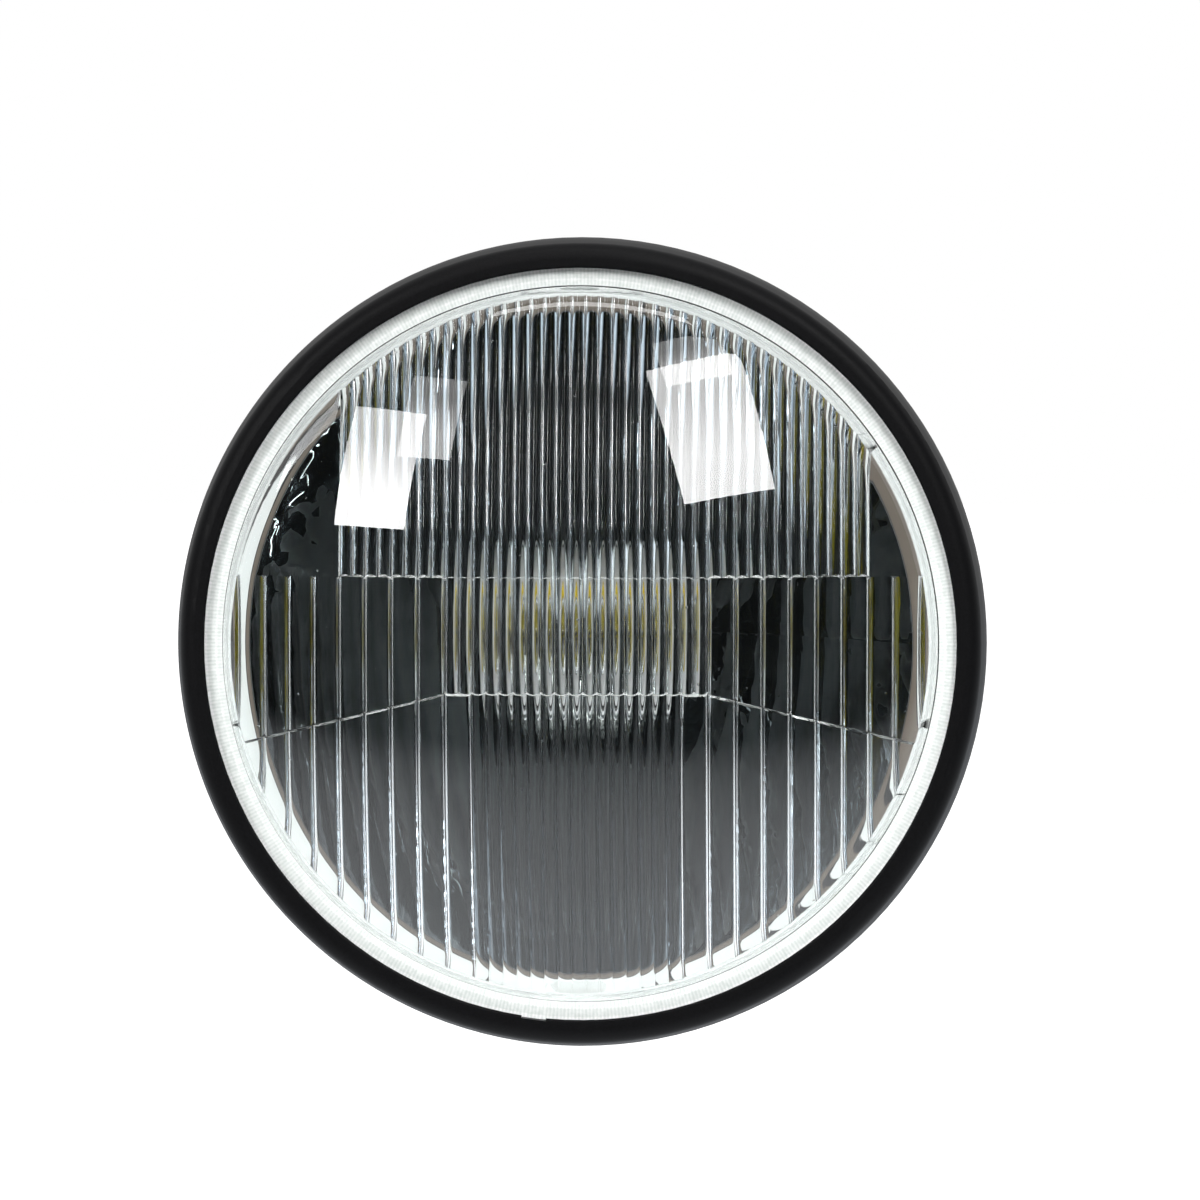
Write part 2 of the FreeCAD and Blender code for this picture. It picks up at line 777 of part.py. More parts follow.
def shell_outline():
    across = shell_radius - shell_back_flat
    straight_end = shell_front + shell_straight
    along = shell_back - straight_end
    front_radius = tangent_radius(across, along, shell_back_radius)
    front_centre = (shell_radius - front_radius, straight_end)
    back_centre = (shell_back_flat, shell_back - shell_back_radius)
    change = math.degrees(math.atan2(back_centre[1] - front_centre[1], back_centre[0] - front_centre[0]))
    hole = grommet_hole / 2
    outline = Outline((shell_inner, shell_front)).line((shell_radius, shell_front))
    outline.sweep(front_centre, front_radius, 0, change)
    outline.sweep(back_centre, shell_back_radius, change, 90)
    outline.line((hole, shell_back), (hole, shell_back_inner))
    outline.sweep(back_centre, shell_back_radius - shell_wall, 90, change)
    return outline.sweep(front_centre, front_radius - shell_wall, change, 0)


def make_shell():
    shell = turned(shell_outline())
    boss_hole = boss_diameter / 2 + fit_gap
    shell = shell.cut(rod(boss_hole, (-rim_radius, 0, 0), (rim_radius, 0, 0)))
    screw_hole = screw_diameter / 2 + screw_hole_gap
    for angle in ear_angles:
        way = rod(screw_hole, (ear_inner, ear_screw, 0), (rim_radius, ear_screw, 0))
        shell = shell.cut(placed(way, angle))
    slot_back = rim_back + hook_setback + hook_slot_gap
    slot_front = rim_back + hook_setback - ear_sheet - hook_slot_gap
    slot = Outline((ear_outer, slot_front)).line((rim_radius, slot_front))
    slot.line((rim_radius, slot_back), (ear_outer, slot_back))
    slot_angle = ear_width_angle + 2 * math.degrees(hook_slot_gap / shell_radius)
    return shell.cut(sector(slot, hook_angle, slot_angle))


def make_boss(side):
    face = shell_radius + boss_proud
    inner = shell_inner - boss_depth
    radius = boss_diameter / 2
    drill = thread_drill / 2
    outline = Outline((inner, drill)).line((inner, radius), (face - boss_chamfer, radius))
    outline.line((face, radius - boss_chamfer), (face, drill + boss_chamfer))
    outline.line((face - boss_chamfer, drill))
    boss = outline.face().revolve(ORIGIN, FreeCAD.Vector(1, 0, 0), 360)
    return placed(boss, 0 if side > 0 else 180)


def make_grommet():
    bore = grommet_bore / 2
    groove = grommet_hole / 2 - fit_gap
    flange = grommet_flange / 2
    outline = Outline((bore, shell_back_inner - grommet_inner_lip))
    outline.line((flange, shell_back_inner - grommet_inner_lip), (flange, shell_back_inner))
    outline.line((groove, shell_back_inner), (groove, shell_back), (flange, shell_back))
    bend = grommet_outer_lip / 2
    outline.sweep((flange - bend, shell_back + bend), bend, 0, 90)
    return turned(outline.line((bore, shell_back + grommet_outer_lip)))


def make_all():
    """Every piece of the lamp under its node name."""
    pieces = {"rim": make_rim(), "rim_gasket": make_gasket(), "rim_hook": make_hook()}
    pieces["lens"] = make_lens()
    pieces["lens_sealant"] = make_sealant()
    pieces["reflector"] = make_reflector()
    for number in range(clip_count):
        pieces[f"retaining_clip_{number + 1}"] = make_clip(360 / clip_count * number)
    pieces["bulb_envelope"] = make_envelope()
    pieces["bulb_stem"] = make_stem()
    pieces["bulb_collar"] = make_collar()
    pieces["bulb_base"] = make_base()
    for name, limits in blade_limits(0).items():
        pieces[f"bulb_terminal_{name}"] = box(*limits)
    pieces["filament_dip"] = make_filament(-1)
    pieces["filament_main"] = make_filament(1)
    pieces["bulb_lead_common"] = make_lead(common_lead_offset, common_lead_place())
    pieces["bulb_lead_main"] = make_lead(-main_lead_offset, filament_far_end(1))
    dip_offset = shield_radius + fit_gap + lead_wire / 2
    pieces["bulb_lead_dip"] = make_lead(-dip_offset, filament_far_end(-1))
    pieces["bulb_shield"] = make_shield()
    pieces["bulb_spring"] = make_spring()
    pieces["spring_hinge"] = make_hinge()
    pieces["spring_catch"] = make_catch()
    rivets = [make_rivet(hinge_rivet), make_rivet(catch_rivet)]
    pieces["spring_rivets"] = Part.makeCompound(rivets)
    pieces["dust_boot"] = make_boot()
    pieces["shell"] = make_shell()
    for side, angle in zip(("left", "right"), ear_angles):
        pieces[f"rim_ear_{side}"] = make_ear(angle)
    pieces["rim_screws"] = Part.makeCompound([make_screw(angle) for angle in ear_angles])
    pieces["rim_nuts"] = Part.makeCompound([make_nut(angle) for angle in ear_angles])
    pieces["side_boss_left"] = make_boss(-1)
    pieces["side_boss_right"] = make_boss(1)
    pieces["loom_grommet"] = make_grommet()
    return pieces


os.makedirs("parts", exist_ok=True)
for node, shape in make_all().items():
    shape.exportStep(f"parts/{node}.step")
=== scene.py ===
import math

import bmesh
import bpy
from mathutils import Matrix, Quaternion, Vector


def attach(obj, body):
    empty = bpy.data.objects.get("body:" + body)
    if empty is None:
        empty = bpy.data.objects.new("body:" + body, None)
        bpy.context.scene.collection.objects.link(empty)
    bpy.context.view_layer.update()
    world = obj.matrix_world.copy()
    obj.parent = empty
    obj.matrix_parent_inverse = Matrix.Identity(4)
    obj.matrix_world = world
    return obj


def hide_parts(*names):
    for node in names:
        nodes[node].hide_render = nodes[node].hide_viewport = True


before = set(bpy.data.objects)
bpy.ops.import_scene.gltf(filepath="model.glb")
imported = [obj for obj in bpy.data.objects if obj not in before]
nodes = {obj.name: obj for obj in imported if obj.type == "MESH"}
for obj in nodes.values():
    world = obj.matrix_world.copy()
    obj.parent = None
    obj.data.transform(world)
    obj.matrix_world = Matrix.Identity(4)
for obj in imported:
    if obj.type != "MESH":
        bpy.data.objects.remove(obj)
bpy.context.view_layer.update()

scene = bpy.context.scene
scene.view_settings.view_transform = "Standard"
# Light runs a long way inside the lens before it comes out of a ridge
scene.cycles.glossy_bounces = 12

# Lamp sizes in millimetres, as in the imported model
MM = 0.001
rim_middle = -37.0
lip_radius = 76.0
dome_foot = 72.3
lens_edge = 78.0
cavity_radius = 69.4
mouth_radius = 66.8
flange_front = -47.5
flange_back = -43.5
dome_radius = 165.0
dome_shoulder_radius = 8.0
lens_foot_height = 1.0
lens_wall = 3.5
collar_centre_radius = 9.8
collar_radius = 19.0
sealant_inner = 68.0
sealant_outer = 72.0
mirror_ease = 0.02
ring_ticks = 640.0

# Cells inside the lens, with lengths along the dome
flute_pitch = 2.755
block_flutes = 2
# Ridge radius, flank radius, steepest slope and the slope where the floor begins, in degrees
flute_shape = (0.15, 0.4, 60, 40)
low_flute_shape = (0.3, 0.6, 29, 23)
block_shape = (0.25, 0.6, 65, 4)
centre_flutes = 19
low_centre_flutes = 15
top_left_flutes = 8
top_right_flutes = 12
top_line = 14.0
low_line_drop = 8.9
low_line_slope = 14.2
zone_step = 0.5
centre_step = 0.4
zone_overlap = 0.05
step_slant = 1.0

# Steps of the round stretches, and the angles past which an edge stays sharp or a turn is cut in slices
TURN_STEPS = 192
DOME_STEPS = 40
SHOULDER_STEPS = 14
PLAIN_STEPS = 24
RIDGE_STEPS = 5
FLANK_STEPS = 6
FLOOR_STEPS = 12
LENS_CREASE = 40
SLICE_ANGLE = math.radians(1.5)

# How far the cutting shapes reach past what they cut, or into it
cut_past = 2.0
hollow_cover = 1.0
hollow_growth = 0.01
zone_front = 5.0
zone_depth = 60.0
wall_reach = 3.0
slab_depth = 50.0
slab_height = 95.0
row_overlap = 4.0
middle_row_low = -30.0
same_place = 1e-3

inner_dome = dome_radius - lens_wall
flute_angle = flute_pitch / inner_dome
dome_shoulder = dome_foot - dome_shoulder_radius
shoulder_place = flange_front - lens_foot_height
dome_centre = shoulder_place + math.sqrt((dome_radius - dome_shoulder_radius) ** 2 - dome_shoulder ** 2)
dome_apex = dome_centre - dome_radius


def linear(colour):
    """sRGB hex colour as the linear values that a shader takes."""
    values = [int(colour[n:n + 2], 16) / 255 for n in (1, 3, 5)]
    return [v / 12.92 if v <= 0.04045 else ((v + 0.055) / 1.055) ** 2.4 for v in values] + [1.0]


def points_of(made):
    """The vertices among what an operator made."""
    return [part for part in made if isinstance(part, bmesh.types.BMVert)]


class Section:
    """Wire in the XY plane: X is the distance from the lamp's axis, Y runs to its back."""

    def __init__(self, x, y):
        self.mesh = bmesh.new()
        self.start = self.mesh.verts.new((x, y, 0))
        self.tip = self.start

    def line(self, *points):
        """Straight stretches through points."""
        for x, y in points:
            corner = self.mesh.verts.new((x, y, 0))
            self.mesh.edges.new((self.tip, corner))
            self.tip = corner
        return self

    def arc(self, centre, angle, steps):
        """Arc from the tip about a centre."""
        made = bmesh.ops.spin(self.mesh, geom=[self.tip], cent=(*centre, 0), axis=(0, 0, 1),
                              angle=angle, steps=steps)
        self.tip = points_of(made["geom_last"])[0]
        return self

    def bend(self, radius, first, last, steps):
        """Arc that leaves the tip at one heading and ends at another."""
        side = radius if last > first else -radius
        x, y = self.tip.co.xy
        return self.arc((x - side * math.sin(first), y + side * math.cos(first)), last - first, steps)

    def turned(self, steps=TURN_STEPS):
        """Full turn about the lamp's axis."""
        geometry = self.mesh.verts[:] + self.mesh.edges[:]
        bmesh.ops.spin(self.mesh, geom=geometry, cent=(0, 0, 0), axis=(0, 1, 0),
                       angle=math.tau, steps=steps, use_merge=True)
        return self.mesh


def plain_object(name, mesh):
    """Mesh made an object, still in millimetres, with its faces pointing outwards."""
    bmesh.ops.remove_doubles(mesh, verts=mesh.verts, dist=1e-4)
    bmesh.ops.recalc_face_normals(mesh, faces=mesh.faces)
    data = bpy.data.meshes.new(name)
    mesh.to_mesh(data)
    mesh.free()
    thing = bpy.data.objects.new(name, data)
    scene.collection.objects.link(thing)
    return thing


def in_metres(thing, crease):
    """Millimetres to metres, smooth except at edges sharper than the crease angle."""
    thing.data.transform(Matrix.Scale(MM, 4))
    thing.data.shade_smooth()
    thing.data.set_sharp_from_angle(angle=math.radians(crease))
    return thing


def carve(thing, operation, tool):
    """Exact Boolean with another closed mesh, which is then removed."""
    step = thing.modifiers.new(operation.lower(), "BOOLEAN")
    step.operation = operation
    step.solver = "EXACT"
    step.object = tool
    graph = bpy.context.evaluated_depsgraph_get()
    made = bpy.data.meshes.new_from_object(thing.evaluated_get(graph))
    thing.modifiers.clear()
    thing.data = made
    bpy.data.objects.remove(tool)


# Lens

def dome_point(angle, radius):
    """Point of the section at an angle from the axis, seen from the dome's centre."""
    return (radius * math.sin(angle), dome_centre - radius * math.cos(angle))


def cell_arcs(half, base, shape):
    """A cell from ridge to ridge: radius, first slope, last slope and steps of every arc."""
    ridge, flank, slope, gentle = shape
    slope = math.radians(slope)
    gentle = math.radians(gentle)
    flank_room = flank * (math.sin(slope) - math.sin(gentle))
    floor_room = (base + ridge) * math.sin(half) - ridge * math.sin(slope) - flank_room
    floor = (floor_room / math.sin(gentle), -gentle, gentle, FLOOR_STEPS)
    way_in = [(ridge, -half, -slope, RIDGE_STEPS), (flank, -slope, -gentle, FLANK_STEPS)]
    way_out = [(flank, gentle, slope, FLANK_STEPS), (ridge, slope, half, RIDGE_STEPS)]
    return way_in + [floor] + way_out


def cell_row(count, first, width, depth, shape):
    """Cells of equal width along the dome: start angle, end angle, depth step and shape."""
    return [(first + n * width, first + (n + 1) * width, depth, shape) for n in range(count)]


def row_with_blocks(inner_flutes, inner_shape, depth, reach):
    """Flutes in the middle and wide cells out to both sides."""
    edge = inner_flutes / 2 * flute_angle
    wide = block_flutes * flute_angle
    count = math.ceil((reach - edge) / wide)
    left = cell_row(count, -edge - count * wide, wide, depth, block_shape)
    middle = cell_row(inner_flutes, -edge, flute_angle, depth, inner_shape)
    return left + middle + cell_row(count, edge, wide, depth, block_shape)


def fluted_room(cells, low, high):
    """The room behind a row of cells: its outline turned about the dome's own cross axis."""
    start = cells[0][0]
    end = cells[-1][1]
    wire = Section(*dome_point(start, inner_dome - cells[0][2]))
    for first, last, depth, shape in cells:
        base = inner_dome - depth
        if shape is None:
            wire.arc((0, dome_centre), last - first, PLAIN_STEPS)
            continue
        begin = dome_point(first, base)
        if math.dist(begin, wire.tip.co.xy) > same_place:
            wire.line(begin)
        middle = (first + last) / 2
        for radius, enter, leave, steps in cell_arcs((last - first) / 2, base, shape):
            wire.bend(radius, middle + enter, middle + leave, steps)
    wire.line(dome_point(end, inner_dome - cavity_radius))
    wire.arc((0, dome_centre), start - end, PLAIN_STEPS)
    mesh = wire.mesh
    mesh.edges.new((wire.tip, wire.start))
    bmesh.ops.contextual_create(mesh, geom=mesh.edges[:])
    centre = (0, dome_centre, 0)
    first = math.asin(low / inner_dome)
    last = math.asin(high / inner_dome)
    bmesh.ops.rotate(mesh, cent=centre, matrix=Matrix.Rotation(first, 3, (-1, 0, 0)),
                     verts=mesh.verts)
    geometry = mesh.verts[:] + mesh.edges[:] + mesh.faces[:]
    bmesh.ops.spin(mesh, geom=geometry, cent=centre, axis=(-1, 0, 0), angle=last - first,
                   steps=int((last - first) / SLICE_ANGLE))
    return plain_object("flutes", mesh)


def hollow(ease):
    """The lens's hollow, deeper than any flute."""
    front = dome_apex + hollow_cover
    rear = flange_back + cut_past + ease
    wire = Section(0, front)
    wire.line((cavity_radius + ease, front), (cavity_radius + ease, rear), (0, rear))
    return plain_object("hollow", wire.turned())


def straight_zone(points):
    """Prism with a front outline given in X and Z."""
    mesh = bmesh.new()
    face = mesh.faces.new([mesh.verts.new((x, dome_apex - zone_front, z)) for x, z in points])
    made = bmesh.ops.extrude_face_region(mesh, geom=[face])["geom"]
    bmesh.ops.translate(mesh, vec=(0, zone_depth, 0), verts=points_of(made))
    return plain_object("room", mesh)


def slanted_zone(line, way):
    """Room above (way 1) or below (-1) a line across the dome, with a slanted wall along that line."""
    mesh = bmesh.new()
    corners = [mesh.verts.new((x, 0, z)) for x, z in line]
    for first, second in zip(corners, corners[1:]):
        mesh.edges.new((first, second))
    bmesh.ops.subdivide_edges(mesh, edges=mesh.edges[:], cuts=PLAIN_STEPS)
    for vert in mesh.verts:
        vert.co.y = dome_centre - math.sqrt(inner_dome ** 2 - vert.co.x ** 2 - vert.co.z ** 2)
    bmesh.ops.translate(mesh, vec=(0, -wall_reach, way * wall_reach * step_slant), verts=mesh.verts)
    row = mesh.edges[:]
    wall = 2 * wall_reach
    for move in ((0, wall, -way * wall * step_slant), (0, slab_depth, 0)):
        made = bmesh.ops.extrude_edge_only(mesh, edges=row)["geom"]
        fresh = set(points_of(made))
        edges = [part for part in made if isinstance(part, bmesh.types.BMEdge)]
        row = [edge for edge in edges if fresh.issuperset(edge.verts)]
        bmesh.ops.translate(mesh, vec=move, verts=list(fresh))
    made = bmesh.ops.extrude_face_region(mesh, geom=mesh.faces[:])["geom"]
    bmesh.ops.translate(mesh, vec=(0, 0, way * slab_height), verts=points_of(made))
    return plain_object("room", mesh)


def lens_blank():
    """Solid glass: a dome with a rounded shoulder on a flat flange."""
    change = math.atan2(shoulder_place - dome_centre, dome_shoulder)
    wire = Section(0, dome_apex)
    wire.arc((0, dome_centre), change + math.pi / 2, DOME_STEPS)
    wire.arc((dome_shoulder, shoulder_place), -change, SHOULDER_STEPS)
    wire.line((dome_foot, flange_front), (lens_edge, flange_front), (lens_edge, flange_back))
    wire.line((0, flange_back))
    return plain_object("lens_glass", wire.turned())


def make_lens():
    """Glass blank with three zones of flutes carved out of its inside."""
    far = lip_radius
    centre_edge = centre_flutes / 2 * flute_angle
    half = dome_point(centre_edge, inner_dome)[0]
    fall = (far - half) * math.tan(math.radians(low_line_slope))
    low_line = [(-far, -low_line_drop - fall), (-half, -low_line_drop)]
    low_line += [(half, -low_line_drop), (far, -low_line_drop - fall)]
    over = top_line + zone_overlap
    reach = math.asin(cavity_radius / inner_dome) + flute_angle
    left_start = -centre_edge - top_left_flutes * flute_angle
    right_end = centre_edge + top_right_flutes * flute_angle
    top = [(-reach, left_start, 0.0, None)]
    top += cell_row(top_left_flutes, left_start, flute_angle, 0.0, flute_shape)
    top += cell_row(centre_flutes, -centre_edge, flute_angle, centre_step, flute_shape)
    top += cell_row(top_right_flutes, centre_edge, flute_angle, 0.0, flute_shape)
    top += [(right_end, reach, 0.0, None)]
    limit = cavity_radius + cut_past
    jobs = [
        (slanted_zone([(-far, top_line), (far, top_line)], 1), top, top_line - row_overlap, limit),
        (straight_zone(low_line + [(far, over), (-far, over)]),
         row_with_blocks(centre_flutes, flute_shape, zone_step, reach),
         middle_row_low, top_line + row_overlap),
        (slanted_zone(low_line, -1),
         row_with_blocks(low_centre_flutes, low_flute_shape, 0.0, reach), -limit, 0),
    ]
    lens = lens_blank()
    for number, (room, cells, low, high) in enumerate(jobs):
        carve(room, "INTERSECT", hollow(hollow_growth * number))
        carve(room, "INTERSECT", fluted_room(cells, low, high))
        carve(lens, "DIFFERENCE", room)
    return in_metres(lens, LENS_CREASE)


# Materials

def add_node(tree, kind, settings=None, links=None):
    """Adds a shader node, sets its values or colour stops, and links its inputs to nodes or outputs."""
    node = tree.nodes.new(kind)
    for name, value in (settings or {}).items():
        if name == "stops":
            elements = node.color_ramp.elements
            while len(elements) < len(value):
                elements.new(0.5)
            for element, (place, colour) in zip(elements, value):
                element.position = place
                element.color = linear(colour)
        elif isinstance(name, int) or name in node.inputs:
            node.inputs[name].default_value = value
        else:
            setattr(node, name, value)
    for name, source in (links or {}).items():
        output = source.outputs[0] if isinstance(source, bpy.types.Node) else source
        tree.links.new(output, node.inputs[name])
    return node


def new_material(name):
    """Material with an empty tree, and the lamp's own coordinates in metres."""
    material = bpy.data.materials.new(name)
    material.use_nodes = True
    tree = material.node_tree
    tree.nodes.clear()
    return material, tree, add_node(tree, "ShaderNodeTexCoord").outputs["Object"]


def finish_material(material, tree, settings, links):
    """Puts the surface together and hands the material back."""
    shader = add_node(tree, "ShaderNodeBsdfPrincipled", settings, links)
    add_node(tree, "ShaderNodeOutputMaterial", None, {"Surface": shader})
    return material


def distance_from_axis(tree, place):
    """Distance of a point from the lamp's axis, in metres."""
    flat = add_node(tree, "ShaderNodeVectorMath", {"operation": "MULTIPLY", 1: (1, 0, 1)}, {0: place})
    return add_node(tree, "ShaderNodeVectorMath", {"operation": "LENGTH"}, {0: flat}).outputs["Value"]


def grained(name, dark, light, grain, bump, stretch=(1, 1, 1), **settings):
    """Solid surface whose colour and relief follow a noise; grain and relief in millimetres."""
    material, tree, place = new_material(name)
    spread = add_node(tree, "ShaderNodeMapping", {"Scale": stretch}, {"Vector": place})
    noise = add_node(tree, "ShaderNodeTexNoise", {"Scale": 1 / (grain * MM), "Detail": 4.0},
                     {"Vector": spread})
    colour = add_node(tree, "ShaderNodeValToRGB", {"stops": ((0.35, dark), (0.65, light))}, {"Fac": noise})
    relief = add_node(tree, "ShaderNodeBump", {"Strength": 0.5, "Distance": bump * MM}, {"Height": noise})
    return finish_material(material, tree, settings, {"Base Color": colour, "Normal": relief})


def make_silicone():
    """Sealing compound laid by a nozzle: soft white and a little uneven, with two thin grey circles of
    painted shade standing for shadow gaps.
    """
    material, tree, place = new_material("silicone")
    across = add_node(tree, "ShaderNodeMapRange",
                      {"From Min": sealant_inner * MM, "From Max": sealant_outer * MM},
                      {"Value": distance_from_axis(tree, place)})
    # The two #6E7170 stops are painted shade: shadow gaps drawn as colour
    painted_shadow_rings = add_node(tree, "ShaderNodeValToRGB", {"stops": (
        (0.36, "#BEC2C0"), (0.39, "#6E7170"), (0.42, "#BEC2C0"),
        (0.6, "#CACECC"), (0.63, "#6E7170"), (0.66, "#CACECC"),
    )}, {"Fac": across})
    noise = add_node(tree, "ShaderNodeTexNoise", {"Scale": 1 / (2.5 * MM), "Detail": 4.0},
                     {"Vector": place})
    relief = add_node(tree, "ShaderNodeBump", {"Strength": 0.5, "Distance": 0.1 * MM}, {"Height": noise})
    return finish_material(material, tree, {"Roughness": 0.5}, {"Base Color": painted_shadow_rings, "Normal": relief})


def make_pressed_glass():
    """Clear glass with the small bubbles and pits that pressing leaves."""
    material, tree, place = new_material("pressed_glass")
    cells = add_node(tree, "ShaderNodeTexVoronoi", {"Scale": 1 / (6 * MM)}, {"Vector": place})
    pit = add_node(tree, "ShaderNodeValToRGB", {"stops": ((0.02, "#000000"), (0.05, "#FFFFFF"))},
                   {"Fac": cells})
    relief = add_node(tree, "ShaderNodeBump", {"Strength": 0.6, "Distance": 0.08 * MM}, {"Height": pit})
    noise = add_node(tree, "ShaderNodeTexNoise", {"Scale": 1 / (20 * MM)}, {"Vector": place})
    tint = add_node(tree, "ShaderNodeValToRGB", {"stops": ((0.3, "#F8FBFB"), (0.7, "#FCFDFD"))},
                    {"Fac": noise})
    return finish_material(material, tree, {"Roughness": 0.0, "IOR": 1.5, "Transmission Weight": 1.0},
                           {"Base Color": tint, "Normal": relief})


def make_bulb_glass():
    """Thin clear glass, a little darker where it was worked in the flame."""
    material, tree, place = new_material("bulb_glass")
    noise = add_node(tree, "ShaderNodeTexNoise", {"Scale": 1 / (8 * MM)}, {"Vector": place})
    tint = add_node(tree, "ShaderNodeValToRGB", {"stops": ((0.3, "#F4F4EE"), (0.7, "#FDFDFA"))},
                    {"Fac": noise})
    return finish_material(material, tree, {"Roughness": 0.0, "IOR": 1.5, "Transmission Weight": 1.0},
                           {"Base Color": tint})


def make_stippled_glass():
    """White ring round the dome: bonded glass with fine radial ticks, brightest beside the dome, and a thin
    dark line of painted shade right at the dome's foot.
    """
    material, tree, place = new_material("stippled_glass")
    across = add_node(tree, "ShaderNodeMapRange",
                      {"From Min": dome_foot * MM, "From Max": lip_radius * MM},
                      {"Value": distance_from_axis(tree, place)})
    parts = add_node(tree, "ShaderNodeSeparateXYZ", None, {0: place})
    angle = add_node(tree, "ShaderNodeMath", {"operation": "ARCTAN2"},
                     {0: parts.outputs["Z"], 1: parts.outputs["X"]})
    turns = add_node(tree, "ShaderNodeMath", {"operation": "MULTIPLY", 1: ring_ticks}, {0: angle})
    ticks = add_node(tree, "ShaderNodeMath", {"operation": "SINE"}, {0: turns})
    grain = add_node(tree, "ShaderNodeTexNoise", {"Scale": 1 / (0.8 * MM), "Detail": 3.0},
                     {"Vector": place})
    stipple = add_node(tree, "ShaderNodeMath", {"operation": "MULTIPLY_ADD", 1: 0.15}, {0: ticks, 2: grain})
    # Colour across the ring; the dark stops next to the dome's foot are painted shade
    painted_shade_band = add_node(tree, "ShaderNodeValToRGB", {"stops": (
        (0.0, "#1C1D1D"), (0.06, "#2A2B2B"), (0.08, "#ECEFED"), (0.3, "#ECEFED"), (0.4, "#F8F9F8"),
        (0.5, "#E8EBE9"), (0.88, "#ECEFED"), (0.94, "#FFFFFF"),
    )}, {"Fac": across})
    speckle = add_node(tree, "ShaderNodeValToRGB", {"stops": ((0.25, "#E4E8E6"), (0.75, "#FFFFFF"))},
                       {"Fac": stipple})
    mixed = add_node(tree, "ShaderNodeMix", {"data_type": "RGBA", "blend_type": "MULTIPLY", 0: 1.0},
                     {6: painted_shade_band, 7: speckle})
    relief = add_node(tree, "ShaderNodeBump", {"Strength": 0.3, "Distance": 0.1 * MM}, {"Height": stipple})
    return finish_material(material, tree, {"Roughness": 0.45},
                           {"Base Color": mixed.outputs[2], "Normal": relief})


def make_mirror():
    """Vacuum metallised steel: a clean mirror, then past its mouth a thin brown-grey strip of painted shade
    between two dark lines of painted shade, and white sealant.
    """
    material, tree, place = new_material("metallised_steel")
    distance = distance_from_axis(tree, place)
    across = add_node(tree, "ShaderNodeMapRange",
                      {"From Min": mouth_radius * MM, "From Max": cavity_radius * MM}, {"Value": distance})
    # Past the mouth the #0E0E0D lines and the brown-grey stops are painted shade on the flange, not its own
    # colour
    colour = add_node(tree, "ShaderNodeValToRGB", {"stops": (
        (0.0, "#DEE5EA"), (0.02, "#0E0E0D"), (0.08, "#0E0E0D"), (0.09, "#574F46"), (0.36, "#625A50"),
        (0.37, "#0E0E0D"), (0.42, "#0E0E0D"), (0.43, "#CDD1CF"),
    )}, {"Fac": across})
    inside = add_node(tree, "ShaderNodeMath",
                      {"operation": "LESS_THAN", 1: (mouth_radius + mirror_ease) * MM}, {0: distance})
    rough = add_node(tree, "ShaderNodeMapRange", {"To Min": 0.6, "To Max": 0.0}, {"Value": inside})
    noise = add_node(tree, "ShaderNodeTexNoise", {"Scale": 1 / (12 * MM), "Detail": 2.0},
                     {"Vector": place})
    relief = add_node(tree, "ShaderNodeBump", {"Strength": 0.3, "Distance": 0.02 * MM}, {"Height": noise})
    return finish_material(material, tree, {}, {"Base Color": colour, "Roughness": rough,
                                                "Metallic": inside, "Normal": relief})


def make_collar_plate():
    """Bright zinc plate with a dark ring of painted shade standing for a groove near its edge, and an
    olive-yellow passivated grip inside.
    """
    material, tree, place = new_material("zinc_and_yellow_passivate")
    distance = distance_from_axis(tree, place)
    outside = add_node(tree, "ShaderNodeMath",
                       {"operation": "GREATER_THAN", 1: collar_centre_radius * MM}, {0: distance})
    noise = add_node(tree, "ShaderNodeTexNoise", {"Scale": 1 / (1.5 * MM), "Detail": 3.0},
                     {"Vector": place})
    across = add_node(tree, "ShaderNodeMapRange",
                      {"From Min": collar_centre_radius * MM, "From Max": collar_radius * MM},
                      {"Value": distance})
    # The #222222 stops near the edge are painted shade standing for a groove
    colour = add_node(tree, "ShaderNodeValToRGB", {"stops": (
        (0.0, "#C2AC12"), (0.02, "#DDDFE0"), (0.81, "#E8EAEA"), (0.83, "#222222"), (0.89, "#222222"),
        (0.91, "#E8EAEA"),
    )}, {"Fac": across})
    rough = add_node(tree, "ShaderNodeMapRange", {"To Min": 0.2, "To Max": 0.4}, {"Value": noise})
    metal = add_node(tree, "ShaderNodeMapRange", {"To Max": 0.2}, {"Value": outside})
    return finish_material(material, tree, {}, {"Base Color": colour, "Metallic": metal,
                                                "Roughness": rough})


pressed_glass = make_pressed_glass()
stippled_glass = make_stippled_glass()
# Matt black paint with a fine dry grain
powder_coat = grained("powder_coat", "#060607", "#0C0C0E", 0.35, 0.015,
                      **{"Roughness": 0.5, "Specular IOR Level": 0.1})
# Black moulded rubber, dull and a little dusty
rubber = grained("moulded_rubber", "#121212", "#1C1C1B", 1.2, 0.03, **{"Roughness": 0.7})
# Bright zinc with the cloudy crystals of plating
zinc_plate = grained("zinc_plate", "#B4B7B9", "#D3D5D6", 1.0, 0.01, **{"Roughness": 0.3, "Metallic": 1.0})
# Drawn wire with grey lengthwise streaks
spring_wire = grained("spring_wire", "#8C8F92", "#B9BCBE", 0.4, 0.01, (1, 0.2, 1),
                      **{"Roughness": 0.3, "Metallic": 1.0})
# Turned steel with rings left by the tool
turned_steel = grained("turned_steel", "#A9ACAE", "#CBCDCE", 0.3, 0.01, (3, 1, 1),
                       **{"Roughness": 0.35, "Metallic": 1.0})
# Stamped brass, slightly tarnished
brass = grained("stamped_brass", "#A98A48", "#CDB070", 1.5, 0.01, **{"Roughness": 0.35, "Metallic": 1.0})
# Dark moulded insulator with a fine grain
moulded_base = grained("moulded_base", "#171615", "#242322", 0.6, 0.02, **{"Roughness": 0.55})
